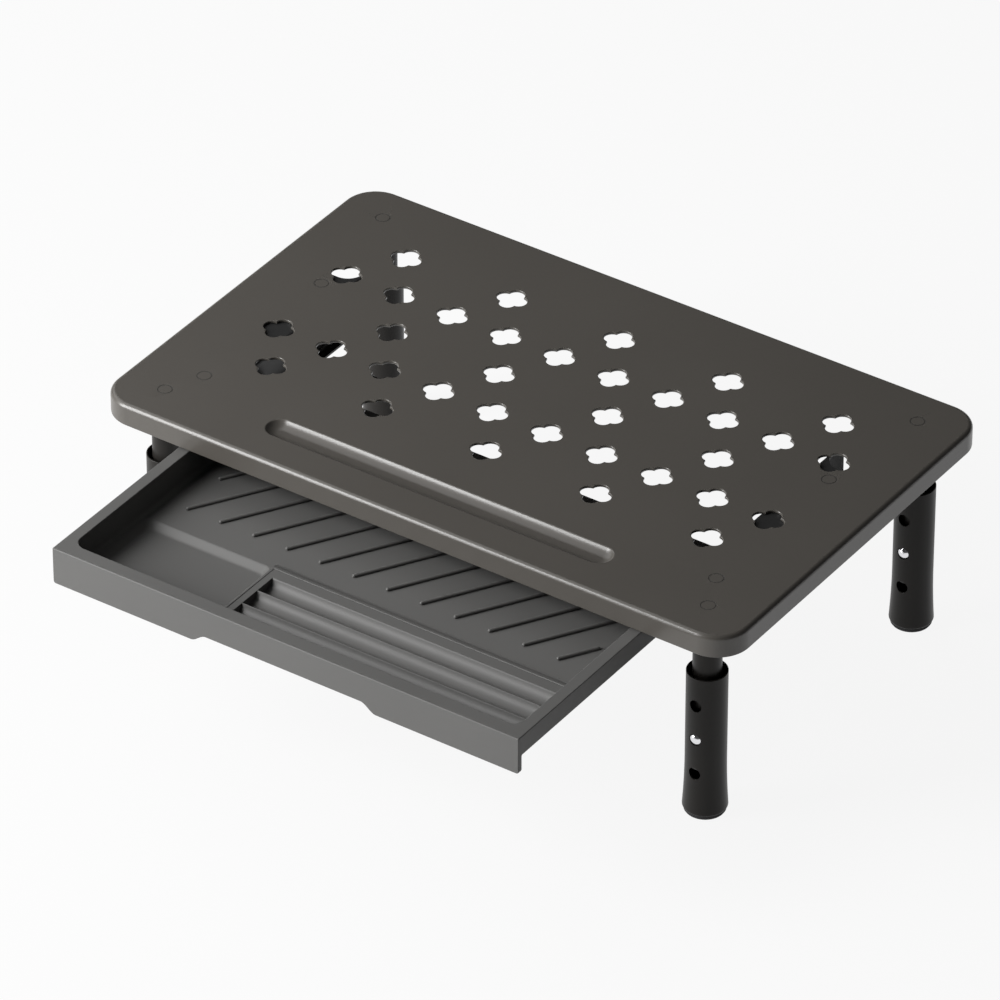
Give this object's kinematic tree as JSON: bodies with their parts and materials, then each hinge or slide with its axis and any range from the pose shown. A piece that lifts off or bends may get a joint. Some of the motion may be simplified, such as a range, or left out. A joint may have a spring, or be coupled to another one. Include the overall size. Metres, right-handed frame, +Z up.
{
  "type": "laptop stand with drawer",
  "caption": "Low laptop or monitor stand: a vented steel plate with a pen groove on height-adjustable tubular legs, with a shallow compartmented drawer sliding under it.",
  "frame": {"origin": "on the table, under the middle of the whole stand's footprint with the drawer pulled out 102 mm as in the picture", "axes": "+X to the right along the plate's long side, +Y to the back, +Z up; the drawer opens towards -Y"},
  "size_m": [0.37, 0.332, 0.12],
  "materials": {
    "plate_paint": "satin powder coat, dark warm grey",
    "leg_paint": "satin powder coat, near black",
    "rail_paint": "satin black paint",
    "drawer_plastic": "fine matte moulded plastic, dark grey",
    "black_plastic": "matte",
    "zinc_steel": "zinc plated",
    "spring_steel": "bright nickel plated",
    "foot_rubber": "matte"
  },
  "bodies": {
    "stand": {"top_plate": "plate_paint", "weld_studs": "zinc_steel", "rail_left": "rail_paint", "rail_right": "rail_paint", "rail_nuts": "zinc_steel", "leg_insert_fl": "black_plastic", "leg_insert_fr": "black_plastic", "leg_insert_bl": "black_plastic", "leg_insert_br": "black_plastic", "leg_tube_fl": "leg_paint", "leg_tube_fr": "leg_paint", "leg_tube_bl": "leg_paint", "leg_tube_br": "leg_paint", "tube_cap_fl": "black_plastic", "tube_cap_fr": "black_plastic", "tube_cap_bl": "black_plastic", "tube_cap_br": "black_plastic", "guide_ring_fl": "black_plastic", "guide_ring_fr": "black_plastic", "guide_ring_bl": "black_plastic", "guide_ring_br": "black_plastic"},
    "drawer": {"drawer_tray": "drawer_plastic"},
    "lower_leg_fl": {"leg_sleeve_fl": "leg_paint", "foot_fl": "foot_rubber"},
    "button_fl": {"snap_clip_fl": "spring_steel"},
    "lower_leg_fr": {"leg_sleeve_fr": "leg_paint", "foot_fr": "foot_rubber"},
    "button_fr": {"snap_clip_fr": "spring_steel"},
    "lower_leg_bl": {"leg_sleeve_bl": "leg_paint", "foot_bl": "foot_rubber"},
    "button_bl": {"snap_clip_bl": "spring_steel"},
    "lower_leg_br": {"leg_sleeve_br": "leg_paint", "foot_br": "foot_rubber"},
    "button_br": {"snap_clip_br": "spring_steel"}
  },
  "joints": [
    {"name": "drawer_slide", "type": "slide", "parent": "stand", "child": "drawer", "axis": [0, -1, 0], "range_m": [-0.102, 0.018]},
    {"name": "leg_height_fl", "type": "slide", "parent": "stand", "child": "lower_leg_fl", "axis": [0, 0, -1], "range_m": [-0.02, 0.02], "deforming": ["snap_clip_fl"]},
    {"name": "button_press_fl", "type": "slide", "parent": "stand", "child": "button_fl", "axis": [0, 1, 0], "range_m": [0, 0.0038], "stiffness_N_per_m": 4000, "springref_m": -0.001, "deforming": ["snap_clip_fl"]},
    {"name": "leg_height_fr", "type": "slide", "parent": "stand", "child": "lower_leg_fr", "axis": [0, 0, -1], "range_m": [-0.02, 0.02], "deforming": ["snap_clip_fr"]},
    {"name": "button_press_fr", "type": "slide", "parent": "stand", "child": "button_fr", "axis": [0, 1, 0], "range_m": [0, 0.0038], "stiffness_N_per_m": 4000, "springref_m": -0.001, "deforming": ["snap_clip_fr"]},
    {"name": "leg_height_bl", "type": "slide", "parent": "stand", "child": "lower_leg_bl", "axis": [0, 0, -1], "range_m": [-0.02, 0.02], "deforming": ["snap_clip_bl"]},
    {"name": "button_press_bl", "type": "slide", "parent": "stand", "child": "button_bl", "axis": [0, 1, 0], "range_m": [0, 0.0038], "stiffness_N_per_m": 4000, "springref_m": -0.001, "deforming": ["snap_clip_bl"]},
    {"name": "leg_height_br", "type": "slide", "parent": "stand", "child": "lower_leg_br", "axis": [0, 0, -1], "range_m": [-0.02, 0.02], "deforming": ["snap_clip_br"]},
    {"name": "button_press_br", "type": "slide", "parent": "stand", "child": "button_br", "axis": [0, 1, 0], "range_m": [0, 0.0038], "stiffness_N_per_m": 4000, "springref_m": -0.001, "deforming": ["snap_clip_br"]}
  ]
}
